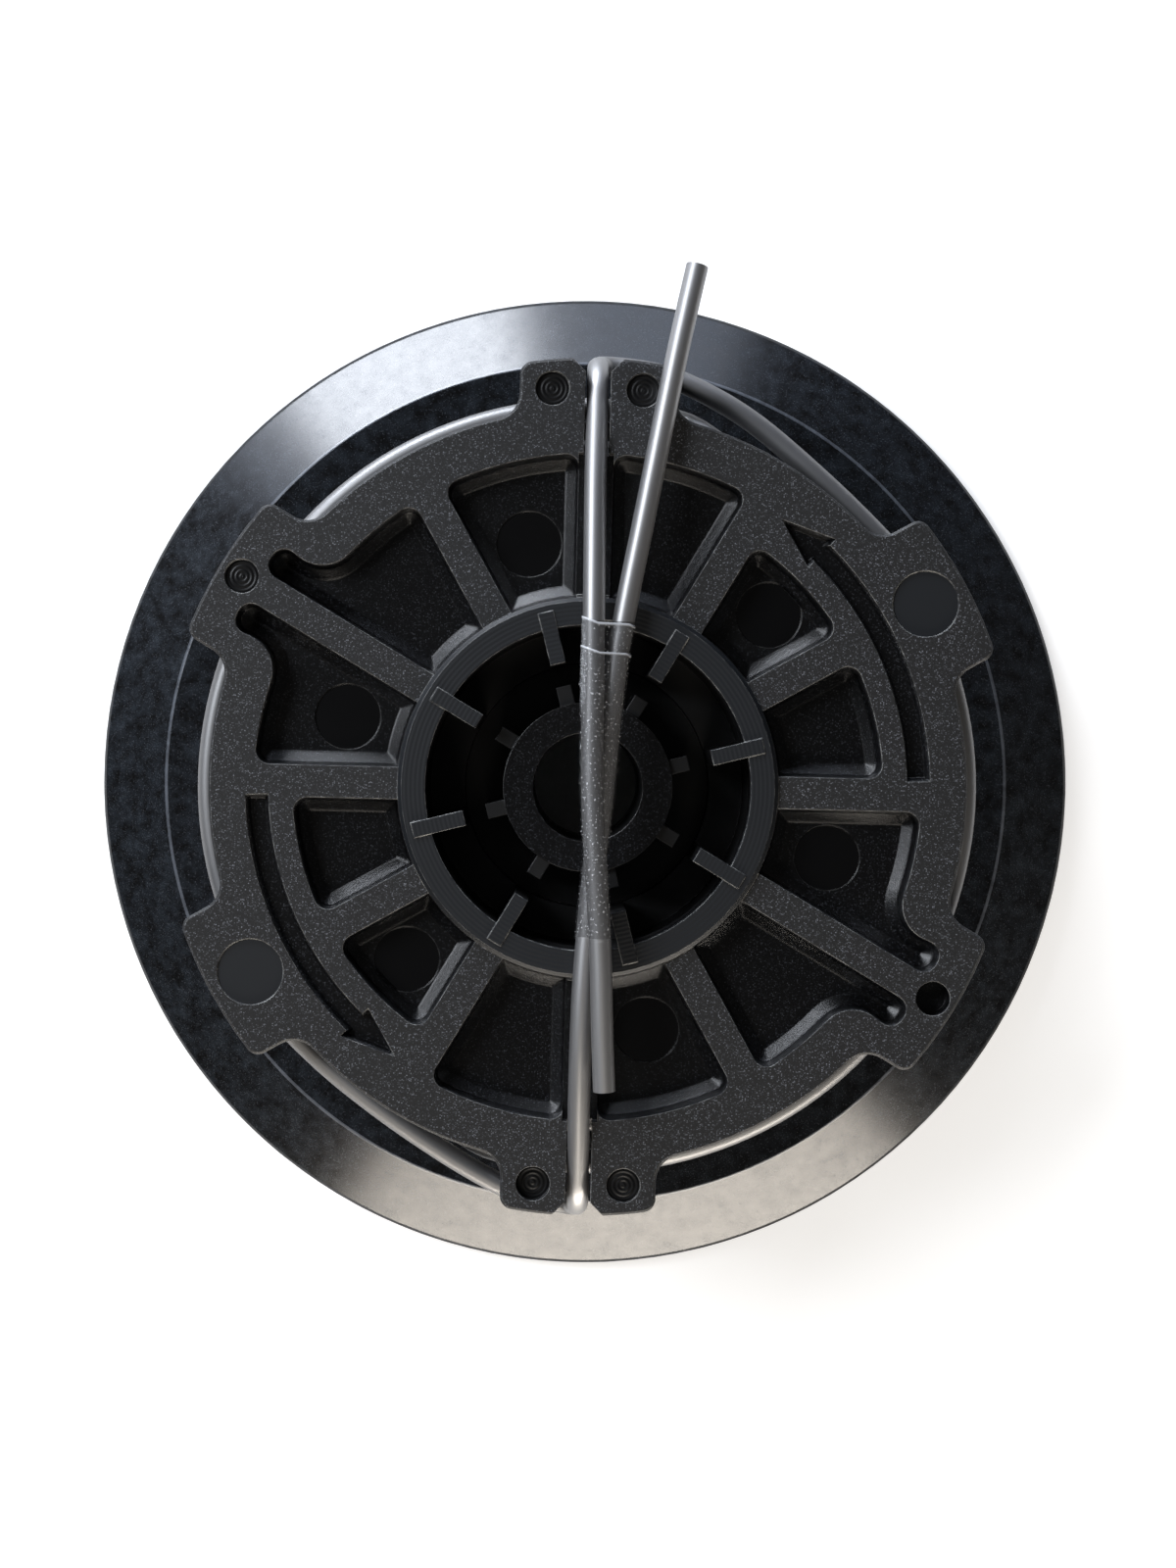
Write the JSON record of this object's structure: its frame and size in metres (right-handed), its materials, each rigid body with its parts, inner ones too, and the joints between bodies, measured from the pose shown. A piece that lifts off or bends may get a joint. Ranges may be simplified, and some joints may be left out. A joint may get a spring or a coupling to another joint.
{
  "type": "trimmer line spool",
  "caption": "Moulded spool with a ribbed, lobed upper flange and a wider sloping lower flange, wound with trimmer line whose taped ends lie across the face.",
  "frame": {"origin": "on the spool's axis, at the level of the lower flange's rim that it stands on", "axes": "+Z along the axis towards the ribbed upper flange, +Y towards the slot of the upper line end"},
  "size_m": [0.095, 0.095, 0.0326],
  "materials": {
    "spool_plastic": "black moulded plastic with a fine spark-eroded texture, satin on the lower flange",
    "line_nylon": "smooth grey nylon line with a soft lengthwise shine",
    "tape_film": "clear glossy tape with small air bubbles"
  },
  "bodies": {
    "root": {"spool_body": "spool_plastic", "wound_line": "line_nylon", "line_end_upper": "line_nylon", "line_end_lower": "line_nylon", "tape_wrap": "tape_film"}
  },
  "joints": []
}
